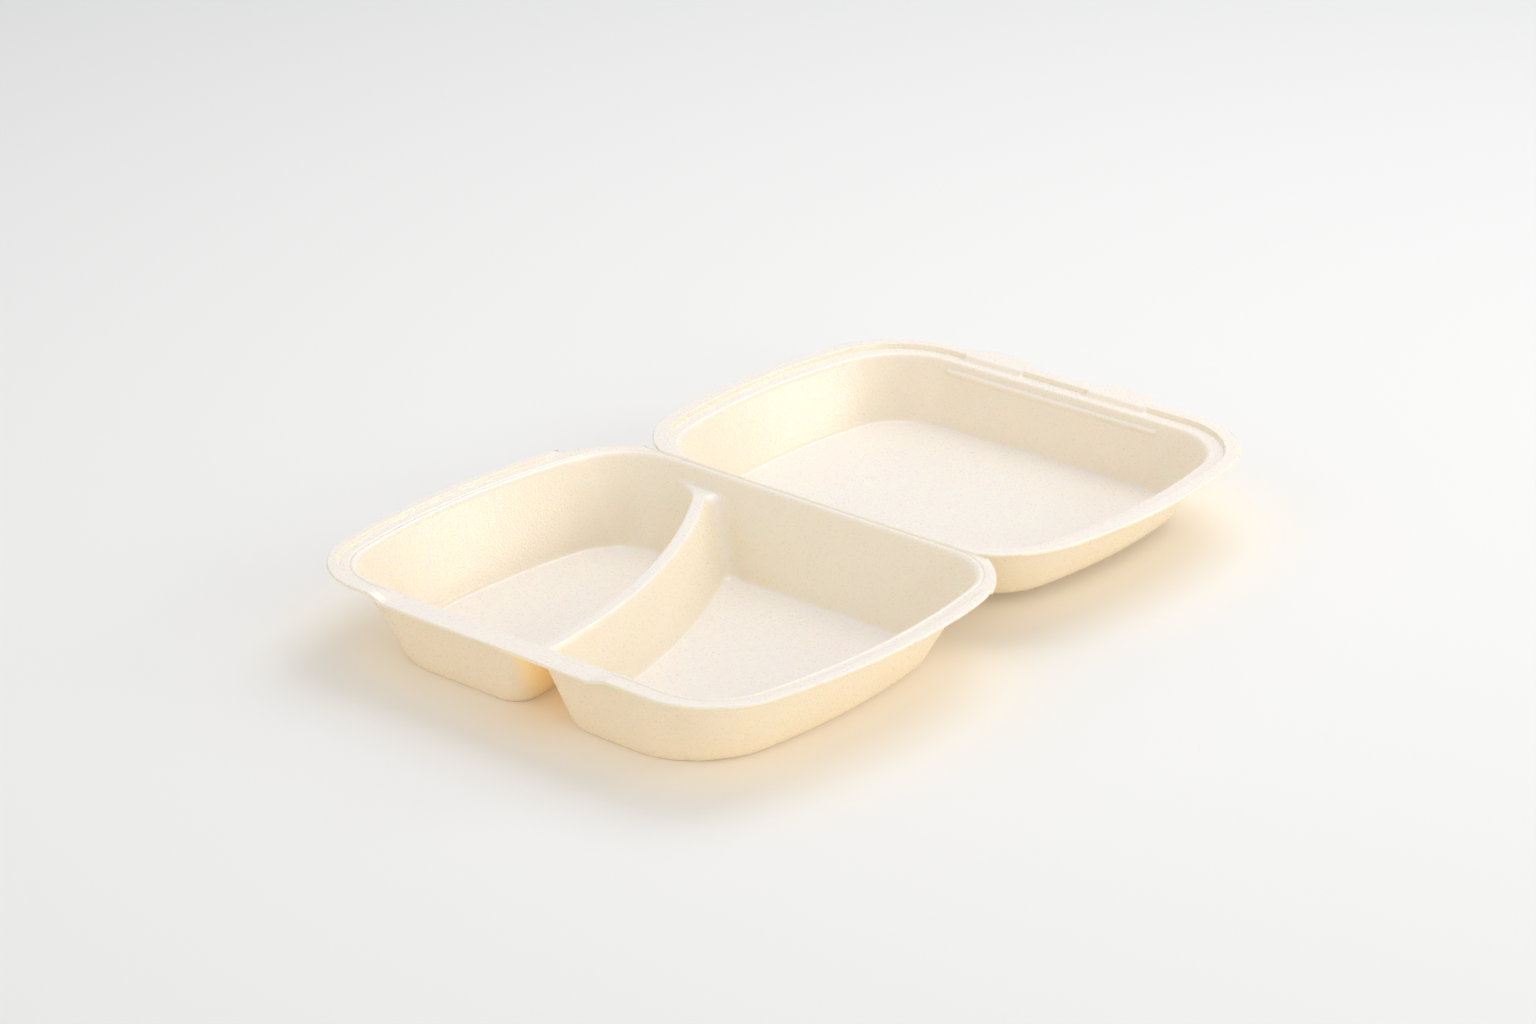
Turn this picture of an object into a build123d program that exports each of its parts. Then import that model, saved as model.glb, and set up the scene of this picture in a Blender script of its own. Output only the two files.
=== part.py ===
from build123d import *
import os
from math import asin, atan2, cos, degrees, pi, radians, sin, sqrt, tan

# Compartment meal box of thermoformed foam, standing open on a table.
# X runs along the hinge, Y from the tray towards the lid, Z up.
# Both halves are drawn with the hinge line over the X axis and reach to negative Y.
# Their heights are measured from the top of the rim, and the lid is turned over at the end.

# Foam sheet
wall = 2.0
rim_sheet = 1.5

# Tray opening, measured at the top of its rim
box_width = 245.0
rim_width = 11.8
tray_length = 173.0
tray_hinge_gap = 3.6
side_bow_radius = 313.0
front_corner_radius = 27.0
hinge_corner_radius = 29.5

# Tray body
tray_depth = 35.7
side_draft_angle = 26.5
hinge_draft_angle = 31.0
front_draft_angle = 14.0
floor_corner_narrowing = 4.0
floor_fillet = 2.5
mouth_fillet = 2.0

# Divider between the two compartments
divider_radius = 300.0
divider_front_x = 6.7
divider_front_angle = 2.5
divider_drop = 6.7
divider_crest_half = 3.0
divider_draft_angle = 20.0
divider_crest_fillet = 2.2
divider_end_fillet = 9.0
arch_crown_fillet = 1.2

# Tray rim: groove behind the rounded mouth, recess for the lid, then a raised strip
groove_offset = 2.0
groove_depth = 0.5
groove_half_width = 0.5
recess_width = 7.0
strip_height = 1.5
strip_back_y = -25.0
rim_hinge_radius = 60.0
rim_back_reach = 10.0
edge_round = 0.5

# Low ledge in the front rim, under the closing tabs
ledge_centre_x = -7.0
ledge_half_length = 54.0
ledge_ramp = 10.0
ledge_drop = 1.0

# Hinge
hinge_clearance = 0.15

# Lid opening, measured at its inner band
lid_half_width = 101.2
lid_length = 165.4
lid_far_corner_radius = 33.0
lid_hinge_corner_radius = 36.0
lid_bow_radius = 290.0
lid_depth = 31.0
lid_side_draft_angle = 27.5
lid_end_draft_angle = 23.0
lid_hinge_draft_angle = 30.0
lid_corner_narrowing = 4.0

# Lid rim: inner band, riser and outer strip
lid_band_drop = 2.2
lid_band_width = 6.6
lid_hinge_band = 2.2
lid_strip_width = 7.4

# Closing tabs and snap rib on the lid
tab_spacing = 68.0
tab_root_half = 17.0
tab_tip_half = 11.0
tab_reach = 5.8
tab_corner = 3.0
tab_ramp = 3.0
rib_radius = 1.1
rib_drop = 4.5
rib_centre_x = -3.0
rib_half_length = 58.0

# How near an edge lies to a height or a line when it is picked for rounding
height_slack = 0.5
line_slack = 0.02

inner_half_width = box_width / 2 - rim_width
front_edge_y = -tray_hinge_gap - tray_length
lid_far_edge_y = -tray_hinge_gap - lid_length
reach = 2 * box_width


def rounded_outline(half_width, back_y, front_y, bow_radius, back_radius, front_radius):
    """Closed wire in XY: straight back and front, bowed sides, one radius for each pair of corners."""
    side_x = half_width - bow_radius
    side_y = (back_y + front_y) / 2
    back_cy = back_y - back_radius
    front_cy = front_y + front_radius
    back_cx = side_x + sqrt((bow_radius - back_radius) ** 2 - (back_cy - side_y) ** 2)
    front_cx = side_x + sqrt((bow_radius - front_radius) ** 2 - (front_cy - side_y) ** 2)
    back_angle = atan2(back_cy - side_y, back_cx - side_x)
    front_angle = atan2(front_cy - side_y, front_cx - side_x)

    def arc(cx, cy, radius, start, end, side):
        angles = (start, (start + end) / 2, end)
        return ThreePointArc(*[(side * (cx + radius * cos(a)), cy + radius * sin(a)) for a in angles])

    def side_arcs(side):
        return [
            arc(back_cx, back_cy, back_radius, pi / 2, back_angle, side),
            arc(side_x, side_y, bow_radius, back_angle, front_angle, side),
            arc(front_cx, front_cy, front_radius, front_angle, -pi / 2, side),
        ]

    front_line = Line((front_cx, front_y), (-front_cx, front_y))
    back_line = Line((-back_cx, back_y), (back_cx, back_y))
    return Wire(side_arcs(1) + [front_line] + side_arcs(-1)[::-1] + [back_line])


def leaned(angle, depth):
    return depth * tan(radians(angle))


def tray_outline(grow, depth=0.0):
    """Mouth of the tray grown outwards, drawn in by the wall drafts at a depth."""
    side_lean = leaned(side_draft_angle, depth)
    narrowing = floor_corner_narrowing * depth / tray_depth
    return rounded_outline(
        inner_half_width + grow - side_lean,
        -tray_hinge_gap + grow - leaned(hinge_draft_angle, depth),
        front_edge_y - grow + leaned(front_draft_angle, depth),
        side_bow_radius + grow - side_lean,
        hinge_corner_radius + grow - narrowing,
        front_corner_radius + grow - narrowing,
    )


def lid_outline(grow, depth=0.0):
    """Mouth of the lid grown outwards, drawn in by the wall drafts at a depth."""
    side_lean = leaned(lid_side_draft_angle, depth)
    narrowing = lid_corner_narrowing * depth / lid_depth
    return rounded_outline(
        lid_half_width + grow - side_lean,
        -tray_hinge_gap + grow - leaned(lid_hinge_draft_angle, depth),
        lid_far_edge_y - grow + leaned(lid_end_draft_angle, depth),
        lid_bow_radius + grow - side_lean,
        lid_hinge_corner_radius + grow - narrowing,
        lid_far_corner_radius + grow - narrowing,
    )


def plate(outline, low_z, high_z):
    """Flat piece with this outline between two heights."""
    return extrude(Pos(0, 0, low_z) * make_face(outline), high_z - low_z)


def edges_between(solid, low_z, high_z):
    """Edges that reach from low_z up to high_z."""
    found = []
    for edge in solid.edges():
        box = edge.bounding_box()
        if abs(box.min.Z - low_z) < height_slack and abs(box.max.Z - high_z) < height_slack:
            found.append(edge)
    return found


def drawn_body(outline, grow, top_z, bottom_z, mouth_z):
    """Solid that follows the outline from the mouth down to the bottom, continued up to top_z."""
    top = Pos(0, 0, top_z) * outline(grow, mouth_z - top_z)
    bottom = Pos(0, 0, bottom_z) * outline(grow, mouth_z - bottom_z)
    return Part() + Solid.make_loft([top, bottom], ruled=True)


def divider_ridge(foot_z, crest_z, crest_half):
    """Curved ridge that narrows upwards and runs past the tray at both ends."""
    lead = radians(divider_front_angle)
    centre_x = divider_front_x - divider_radius * cos(lead)
    centre_y = front_edge_y - divider_radius * sin(lead)
    height = crest_z - foot_z
    foot_half = crest_half + leaned(divider_draft_angle, height)
    past_end = degrees(2 * rim_width / divider_radius)
    sweep_angle = degrees(asin((tray_length + divider_radius * sin(lead)) / divider_radius)) + 2 * past_end
    outer = CenterArc((centre_x, centre_y), divider_radius + foot_half, -past_end, sweep_angle)
    inner = CenterArc((centre_x, centre_y), divider_radius - foot_half, -past_end, sweep_angle)
    outline = Wire([outer, Line(outer @ 1, inner @ 1), inner, Line(inner @ 0, outer @ 0)])
    return extrude(Pos(0, 0, foot_z) * make_face(outline), height, taper=divider_draft_angle)


def two_pockets(body, floor_z, crest_z, crest_half, end_fillet, foot_fillet, crest_fillet):
    """Body split by the divider, with its corners rounded."""
    split = body - divider_ridge(floor_z, crest_z, crest_half)
    split = fillet(edges_between(split, floor_z, crest_z), end_fillet)
    split = fillet(edges_between(split, floor_z, floor_z), foot_fillet)
    return fillet(edges_between(split, crest_z, crest_z), crest_fillet)


def tray_pockets():
    """Space inside the tray: two compartments that meet above the divider."""
    floor_z = wall - tray_depth
    body = drawn_body(tray_outline, 0, 0, floor_z, 0)
    return two_pockets(body, floor_z, -divider_drop, divider_crest_half,
                       divider_end_fillet, floor_fillet, divider_crest_fillet)


def tray_outside():
    """Outside of the tray walls, with the open channel under the divider."""
    slant_wall = wall / cos(radians(side_draft_angle))
    body = drawn_body(tray_outline, slant_wall, -rim_sheet, -tray_depth, 0)
    channel_half = divider_crest_half + leaned(divider_draft_angle, wall) - slant_wall
    return two_pockets(body, -tray_depth, -divider_drop - wall, channel_half,
                       divider_end_fillet + wall, floor_fillet + wall, arch_crown_fillet)


def rim_outline(grow=0.0):
    """Outer edge of the tray's rim, narrowing at the hinge corners."""
    return rounded_outline(
        box_width / 2 + grow,
        rim_back_reach + grow,
        front_edge_y - rim_width - grow,
        side_bow_radius + rim_width + grow,
        rim_hinge_radius + grow,
        front_corner_radius + rim_width + grow,
    )


def tray_rim():
    """Flat recess round the mouth and a raised strip outside it, lower again at the hinge corners."""
    shoulder = plate(rim_outline(), -rim_sheet, 0)
    recess_edge = tray_outline(recess_width)
    riser_back = tray_outline(recess_width + rim_sheet)
    strip = plate(rim_outline(), -rim_sheet, strip_height)
    strip = fillet(edges_between(strip, strip_height, strip_height), edge_round)
    strip -= plate(rim_outline(edge_round), -rim_sheet, 0) - plate(riser_back, -rim_sheet, 0)
    strip -= plate(recess_edge, -rim_sheet, strip_height)
    front_part = Pos(0, strip_back_y - reach / 2, 0) * Box(reach, reach, reach)
    recess = plate(recess_edge, -rim_sheet, 0)
    shoulder -= Pos(0, -rim_sheet, 0) * front_part
    return shoulder + (strip & front_part) + (recess & front_part)


def round_mouth(shape, outline, mouth_z):
    """Shape with the edge between wall and rim rounded along the mouth."""
    mouth = Pos(0, 0, mouth_z) * outline(0)
    level = edges_between(shape, mouth_z, mouth_z)
    return fillet([edge for edge in level if mouth.distance_to(edge @ 0.5) < line_slack], mouth_fillet)


def groove_round_mouth():
    """Shallow V groove that follows the rounded mouth and makes the tray's hinge crease."""
    path = tray_outline(groove_offset + groove_half_width)
    section = make_face(Polyline(
        (-groove_half_width, 0),
        (0, -groove_depth),
        (groove_half_width, 0),
        (0, groove_depth),
        close=True,
    ))
    return sweep(Plane(origin=path @ 0, x_dir=(0, 1, 0), z_dir=(1, 0, 0)) * section, path=path)


def along_y(points, start_y, end_y):
    """Prism of an XZ outline between two places, start_y the nearer to the hinge."""
    outline = make_face(Polyline(*points, close=True))
    return Pos(0, start_y, 0) * extrude(Plane.XZ * outline, start_y - end_y)


def along_x(points, centre_x, half_length):
    """Prism of a YZ outline about a place along the hinge."""
    outline = make_face(Polyline(*points, close=True))
    return Pos(centre_x - half_length, 0, 0) * extrude(Plane.YZ * outline, 2 * half_length)


def ledge_line(height=0.0):
    """Surface of the front ledge with a ramp up to the strip at each end."""
    left = ledge_centre_x - ledge_half_length
    right = ledge_centre_x + ledge_half_length
    top = strip_height + height
    low = height - ledge_drop
    return [(left - ledge_ramp, top), (left, low), (right, low), (right + ledge_ramp, top)]


def cut_hinge(half):
    """Half box cut off just short of the hinge line."""
    return half - Pos(0, reach / 2 - hinge_clearance, 0) * Box(reach, reach, reach)


def tray():
    """Base of the box with its two compartments."""
    front_y = front_edge_y - rim_width
    pockets = tray_pockets()
    shape = tray_outside() + tray_rim() - pockets
    shape = round_mouth(shape, tray_outline, 0) - groove_round_mouth()
    line = ledge_line()
    above = line + [(x, strip_height + wall) for x, z in line[::-1]]
    ledge_points = line + ledge_line(-rim_sheet)[::-1]
    ledge = along_y(ledge_points, front_edge_y + wall, front_y) - pockets
    lid_space = plate(tray_outline(recess_width), 0, strip_height + wall)
    shape -= along_y(above, front_edge_y + wall, front_y - wall)
    return cut_hinge(shape + (ledge - lid_space))


def band_outline(grow=0.0):
    """Riser line of the lid's rim, where its inner band ends."""
    width = lid_band_width + grow
    return rounded_outline(
        lid_half_width + width,
        -tray_hinge_gap + lid_hinge_band + grow,
        lid_far_edge_y - width,
        lid_bow_radius + width,
        lid_hinge_corner_radius + width,
        lid_far_corner_radius + width,
    )


def lid_rim():
    """Inner band of the lid, the riser round it and the higher outer strip."""
    strip = plate(band_outline(lid_strip_width), -rim_sheet, 0)
    strip = fillet(edges_between(strip, 0, 0), edge_round)
    riser = plate(band_outline(rim_sheet), -lid_band_drop - rim_sheet, 0)
    return strip + riser - plate(band_outline(), -lid_band_drop, 0)


def lid_walls_outside():
    slant_wall = wall / cos(radians(lid_side_draft_angle))
    body = drawn_body(lid_outline, slant_wall, -lid_band_drop - rim_sheet, -lid_depth, -lid_band_drop)
    return fillet(edges_between(body, -lid_depth, -lid_depth), floor_fillet + wall)


def lid_pocket():
    floor_z = wall - lid_depth
    body = drawn_body(lid_outline, 0, -lid_band_drop, floor_z, -lid_band_drop)
    return fillet(edges_between(body, floor_z, floor_z), floor_fillet)


def closing_tab(centre_x):
    """Flat rounded tab on the lid's far edge, with a ramp up to it from the band."""
    riser_y = lid_far_edge_y - lid_band_width
    root_y = riser_y - lid_strip_width / 2
    tip_y = riser_y - lid_strip_width - tab_reach
    outline = make_face(Polyline(
        (centre_x - tab_root_half, root_y),
        (centre_x - tab_tip_half, tip_y),
        (centre_x + tab_tip_half, tip_y),
        (centre_x + tab_root_half, root_y),
        close=True,
    ))
    outline = fillet(outline.vertices().group_by(Axis.Y)[0], tab_corner)
    tab = Pos(0, 0, -rim_sheet) * extrude(outline, rim_sheet)
    ramp = [(riser_y + tab_ramp, -lid_band_drop), (riser_y, 0), (riser_y, -lid_band_drop)]
    return tab + along_x(ramp, centre_x, tab_root_half)


def snap_rib():
    """Half-round rib along the lid's far wall."""
    far_y = lid_far_edge_y + leaned(lid_end_draft_angle, rib_drop)
    bar = Rot(0, 90, 0) * Cylinder(rib_radius, 2 * rib_half_length)
    right_end = Pos(rib_half_length, 0, 0) * Sphere(rib_radius)
    left_end = Pos(-rib_half_length, 0, 0) * Sphere(rib_radius)
    return Pos(rib_centre_x, far_y, -lid_band_drop - rib_drop) * (bar + right_end + left_end)


def lid():
    """Shallow lid, hollow side up, reaching to negative Y like the tray."""
    shape = lid_walls_outside() + lid_rim() - lid_pocket()
    shape = round_mouth(shape, lid_outline, -lid_band_drop)
    for side in (-1, 1):
        shape += closing_tab(ledge_centre_x + side * tab_spacing / 2)
    return cut_hinge(shape + snap_rib())


tray_part = tray()
lid_part = mirror(lid(), about=Plane.XZ)

whole = Compound([tray_part, lid_part]).bounding_box()
to_origin = Pos(-whole.center().X, -whole.center().Y, tray_depth)
tray_part = to_origin * tray_part
lid_part = to_origin * lid_part

os.makedirs("parts", exist_ok=True)
export_step(tray_part, "parts/base_tray.step")
export_step(lid_part, "parts/lid.step")
print("hinge line at Y", round(to_origin.position.Y, 3), "Z", round(tray_depth + hinge_clearance, 3))
print("tray", round(tray_part.volume), "lid", round(lid_part.volume), tray_part.is_valid, lid_part.is_valid)
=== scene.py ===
import logging
import math
from abc import ABC, abstractmethod
from dataclasses import dataclass, field
from enum import Enum
from typing import Callable, Optional

import bpy
import numpy as np
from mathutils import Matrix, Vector
from mathutils.geometry import delaunay_2d_cdt
from mathutils.kdtree import KDTree


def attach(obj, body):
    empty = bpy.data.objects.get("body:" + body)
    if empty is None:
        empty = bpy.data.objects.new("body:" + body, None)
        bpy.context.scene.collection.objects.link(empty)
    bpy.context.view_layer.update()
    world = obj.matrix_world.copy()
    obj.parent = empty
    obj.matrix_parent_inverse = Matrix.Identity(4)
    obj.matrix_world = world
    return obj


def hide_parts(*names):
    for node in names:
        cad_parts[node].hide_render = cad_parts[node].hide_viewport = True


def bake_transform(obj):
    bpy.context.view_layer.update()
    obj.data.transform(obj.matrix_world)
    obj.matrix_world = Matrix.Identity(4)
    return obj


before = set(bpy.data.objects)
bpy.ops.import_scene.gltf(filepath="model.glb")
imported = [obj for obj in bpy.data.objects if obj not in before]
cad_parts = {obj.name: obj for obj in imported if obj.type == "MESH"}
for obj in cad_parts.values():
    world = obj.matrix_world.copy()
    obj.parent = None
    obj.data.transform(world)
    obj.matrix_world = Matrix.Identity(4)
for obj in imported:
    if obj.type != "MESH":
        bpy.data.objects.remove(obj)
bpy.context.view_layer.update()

logging.basicConfig(level=logging.INFO, format="%(message)s")
log = logging.getLogger("meal_box")

Array = np.ndarray
Colour = tuple[float, float, float]
Span = tuple[float, float, float]
Inputs = dict[str | int, object]

# Lengths are in mm and drafts in degrees, unless a docstring says otherwise
MM = 0.001
HINGE_Y = -0.2
RIM_Z = 35.7
TINY = 1e-6
LEAN_ROUNDS = 12
HALVINGS = 26
LEAST_STRETCH = 0.05
POINT_SPACING = 0.22
MERGE_DISTANCE = 1e-5
LEAST_RELIEF = 1e-5
FINE_DETAIL = 3.0
CLOUD_DETAIL = 4.0
NOISE_MIDDLE = 0.5
FINE_SHARE = 0.12
# Normal heights between which the colour goes from painted wall shade to the lit flat colour
WALL_SHADE_LEVEL = 0.62
FLAT_LIT_LEVEL = 0.97
WHITE: Colour = (1.0, 1.0, 1.0)


def smooth_step(value: Array, start: float, end: float) -> Array:
    """Soft step: 0 before the start, 1 after the end and an S-curve between them."""
    share = np.clip((value - start) / (end - start), 0.0, 1.0)
    return share * share * (3.0 - 2.0 * share)


def smooth_min(first: Array, second: Array, width: Array) -> Array:
    """Lower of two surfaces, with the crease rounded where their heights differ by less than a width."""
    share = np.clip(1.0 - np.abs(first - second) / width, 0.0, 1.0)
    return np.minimum(first, second) - share * share * width / 4.0


def smooth_max(first: Array, second: Array, width: Array) -> Array:
    """Higher of two surfaces, with a crease rounded as smooth_min does it."""
    return -smooth_min(-first, -second, width)


def stepped(spans: tuple[Span, ...], last: tuple[float, ...]) -> Array:
    """Values through spans, each given by its start, end and step, and then the last ones."""
    return np.concatenate([*(np.arange(*span) for span in spans), last])


def plan_grid(across: Span, along: Span) -> Array:
    """Points of a grid in plan, from the start, end and step of x and of y."""
    x, y = np.meshgrid(np.arange(*across), np.arange(*along))
    return np.stack([x.ravel(), y.ravel()], 1)


def linked(name: str, data: bpy.types.ID) -> bpy.types.Object:
    """Puts a mesh, lamp or camera into the scene.

    Args:
        name: Name of the object.
        data: What it shows.

    Returns:
        The new object.
    """
    made = bpy.data.objects.new(name, data)
    bpy.context.scene.collection.objects.link(made)
    return made


class Side(Enum):
    """Which way a half of the box reaches from the hinge."""

    TRAY = 1.0
    LID = -1.0


class Face(Enum):
    """Which face of the foam sheet a height belongs to."""

    INNER = "inner"
    OUTER = "outer"


@dataclass(frozen=True)
class Outline:
    """Closed plan outline: straight back and front, bowed sides, rounded corners. In mm."""

    half_width: float
    back_y: float
    front_y: float
    bow_radius: float
    back_radius: float
    front_radius: float
    corner_steps: int = 30
    side_steps: int = 72
    straight_steps: int = 84

    def points(self) -> Array:
        """Points in order round the outline, the same number on each part of it.

        Returns:
            Array of shape (n, 2), clockwise seen from above.
        """
        bow_x = self.half_width - self.bow_radius
        bow_y = (self.back_y + self.front_y) / 2.0
        back = np.array([0.0, self.back_y - self.back_radius])
        front = np.array([0.0, self.front_y + self.front_radius])
        for centre, radius in ((back, self.back_radius), (front, self.front_radius)):
            centre[0] = bow_x + math.sqrt((self.bow_radius - radius) ** 2 - (centre[1] - bow_y) ** 2)
        back_angle = math.atan2(back[1] - bow_y, back[0] - bow_x)
        front_angle = math.atan2(front[1] - bow_y, front[0] - bow_x)

        def arc(centre: Array, radius: float, start: float, end: float, steps: int) -> Array:
            """Arc without its last point."""
            angles = start + (end - start) * np.arange(steps) / steps
            return np.stack([centre[0] + radius * np.cos(angles), centre[1] + radius * np.sin(angles)], 1)

        right = np.concatenate([
            arc(back, self.back_radius, math.pi / 2, back_angle, self.corner_steps),
            arc(np.array([bow_x, bow_y]), self.bow_radius, back_angle, front_angle, self.side_steps),
            arc(front, self.front_radius, front_angle, -math.pi / 2, self.corner_steps),
            np.array([[front[0], self.front_y]]),
        ])
        left = right[::-1] * np.array([-1.0, 1.0])
        along = np.arange(1, self.straight_steps)[:, None] / self.straight_steps
        front_line = right[-1] + (left[0] - right[-1]) * along
        back_line = left[-1] + (right[0] - left[-1]) * along
        return np.concatenate([right, front_line, left, back_line])


class OutlineField:
    """Reads how far places lie outside a closed line of points, and a value carried along it."""

    def __init__(self, points: Array, carried: Optional[Array] = None) -> None:
        """Prepares the search.

        Args:
            points: The line's points in order, clockwise seen from above.
            carried: A number for each point, or None.
        """
        self.points = points
        self.carried = np.zeros(len(points)) if carried is None else carried
        self.ahead = np.roll(points, -1, 0) - points
        self.length = np.linalg.norm(self.ahead, axis=1)
        middle = np.roll(points, -1, 0) - np.roll(points, 1, 0)
        middle /= np.linalg.norm(middle, axis=1)[:, None]
        self.normal = np.stack([-middle[:, 1], middle[:, 0]], 1)
        turned = np.roll(self.normal, -1, 0) - self.normal
        self.bend = np.linalg.norm(turned, axis=1) / self.length
        self.tree = KDTree(len(points))
        for index, (x, y) in enumerate(points):
            self.tree.insert((x, y, 0.0), index)
        self.tree.balance()

    def read(self, places: Array) -> tuple[Array, Array]:
        """Distance and carried value at each place.

        Args:
            places: Plan positions, shape (n, 2).

        Returns:
            Outward distances in mm, and the values carried by the nearest part of the line.
        """
        near = np.array([self.tree.find((x, y, 0.0))[1] for x, y in places])
        offset = places - self.points[near]
        forward = (offset * self.ahead[near]).sum(1) >= 0
        start = np.where(forward, near, (near - 1) % len(self.points))
        end = (start + 1) % len(self.points)
        from_start = places - self.points[start]
        unit = self.ahead[start] / self.length[start][:, None]
        outward = (from_start * self.normal[start]).sum(1)
        stretch = np.maximum(1.0 + self.bend[start] * outward, LEAST_STRETCH)
        share = np.clip((from_start * unit).sum(1) / self.length[start] / stretch, 0.0, 1.0)[:, None]
        foot = self.points[start] * (1 - share) + self.points[end] * share
        normal = self.normal[start] * (1 - share) + self.normal[end] * share
        distance = ((places - foot) * normal).sum(1)
        share = share[:, 0]
        return distance, self.carried[start] * (1 - share) + self.carried[end] * share


def walled_field(mouth: Outline, foot: Outline, depth: float) -> tuple[OutlineField, Array]:
    """Field of a mouth whose walls lean in to a foot outline.

    Args:
        mouth: Top of the walls.
        foot: Their bottom.
        depth: Height of the walls in mm.

    Returns:
        Field that carries the lean in mm for each mm of depth, and the foot's points.
    """
    line = mouth.points()
    plain = OutlineField(line)
    below = OutlineField(foot.points())
    reach = np.zeros(len(line))
    for _ in range(LEAN_ROUNDS):
        reach += below.read(line - plain.normal * reach[:, None])[0]
    return OutlineField(line, reach / depth), line - plain.normal * reach[:, None]


@dataclass(frozen=True)
class Divider:
    """Curved divider between two compartments. In mm, heights from the rim."""

    centre: tuple[float, float]
    radius: float
    crest_z: float
    crest_half: float
    slope: float
    end_radius: float
    crest_round: float

    def gap(self, places: Array) -> Array:
        """Distance in plan from the divider's middle line."""
        return np.abs(np.hypot(places[:, 0] - self.centre[0], places[:, 1] - self.centre[1]) - self.radius)


@dataclass(frozen=True)
class Pressing:
    """One face of a pressed hollow with leaning walls. In mm, heights from the rim."""

    mouth_z: float
    floor_z: float
    grow: float
    floor_round: float
    mouth_round: float
    divider: Optional[Divider] = None
    crest_blend: float = 0.25

    def side_height(self, wall_inset: Array, lean: Array, gap: Array) -> Array:
        """Lowest open height between the wall and the divider, their corner rounded in plan.

        Args:
            wall_inset: Distance inside the wall's top edge.
            lean: How far the wall leans in for each mm of depth.
            gap: Distance from the divider's middle line.

        Returns:
            Heights of the side surfaces.
        """
        low = np.full(len(gap), 2.0 * self.floor_z)
        high = np.full(len(gap), -self.floor_z)
        cut = self.divider
        for _ in range(HALVINGS):
            middle = (low + high) / 2.0
            wall_gap = cut.end_radius - wall_inset + lean * (self.mouth_z - middle)
            ridge_gap = cut.end_radius - gap + cut.crest_half + cut.slope * (cut.crest_z - middle)
            reach = np.hypot(np.maximum(wall_gap, 0.0), np.maximum(ridge_gap, 0.0))
            is_open = reach <= cut.end_radius
            high = np.where(is_open, middle, high)
            low = np.where(is_open, low, middle)
        return high

    def height(self, places: Array, distance: Array, lean: Array) -> Array:
        """Height of the pressed face, before the rim is joined to it.

        Args:
            places: Plan positions.
            distance: Outward distance from the mouth.
            lean: How far the nearest wall leans in for each mm of depth.

        Returns:
            Heights in mm.
        """
        inset = self.grow - distance
        wall = self.mouth_z - inset / lean
        raised = np.zeros(len(wall))
        if self.divider is not None:
            side = self.side_height(inset, lean, self.divider.gap(places))
            above = np.maximum(side - wall, 0.0)
            room = smooth_max(self.divider.crest_z - wall, np.zeros(len(wall)), self.crest_blend)
            soft = np.minimum(self.divider.crest_round, 2.0 * np.minimum(above, room)) + TINY
            raised = smooth_min(above, room, soft)
        return smooth_max(wall + raised, np.full(len(wall), self.floor_z), self.floor_round)


@dataclass
class SheetMesh:
    """Plan points and triangles shared by both faces of a foam sheet."""

    places: Array
    triangles: Array
    border: Array

    @staticmethod
    def from_points(border: Array, inner: Array) -> "SheetMesh":
        """Triangulates the points inside a closed border.

        Args:
            border: The border's points in order.
            inner: Points inside it.

        Returns:
            The mesh in plan.
        """
        cell = np.round(inner / POINT_SPACING).astype(np.int64)
        _, first = np.unique(cell, axis=0, return_index=True)
        inner = inner[np.sort(first)]
        count = len(border)
        coords = [Vector(p) for p in np.concatenate([border, inner])]
        edges = [(i, (i + 1) % count) for i in range(count)]
        made = delaunay_2d_cdt(coords, edges, [], 1, MERGE_DISTANCE)
        places = np.array([tuple(p) for p in made[0]])
        triangles = np.array([f for f in made[2] if len(f) == 3])
        corner = places[triangles]
        area = np.cross(corner[:, 1] - corner[:, 0], corner[:, 2] - corner[:, 0])
        triangles = np.where((area < 0)[:, None], triangles[:, ::-1], triangles)
        loops: dict[int, int] = {}
        sides = np.concatenate([triangles[:, [0, 1]], triangles[:, [1, 2]], triangles[:, [2, 0]]])
        known = {tuple(s) for s in sides.tolist()}
        for a, b in known:
            if (b, a) not in known:
                loops[a] = b
        start = next(iter(loops))
        order = [start]
        while loops[order[-1]] != start:
            order.append(loops[order[-1]])
        return SheetMesh(places, triangles, np.array(order))


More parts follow.
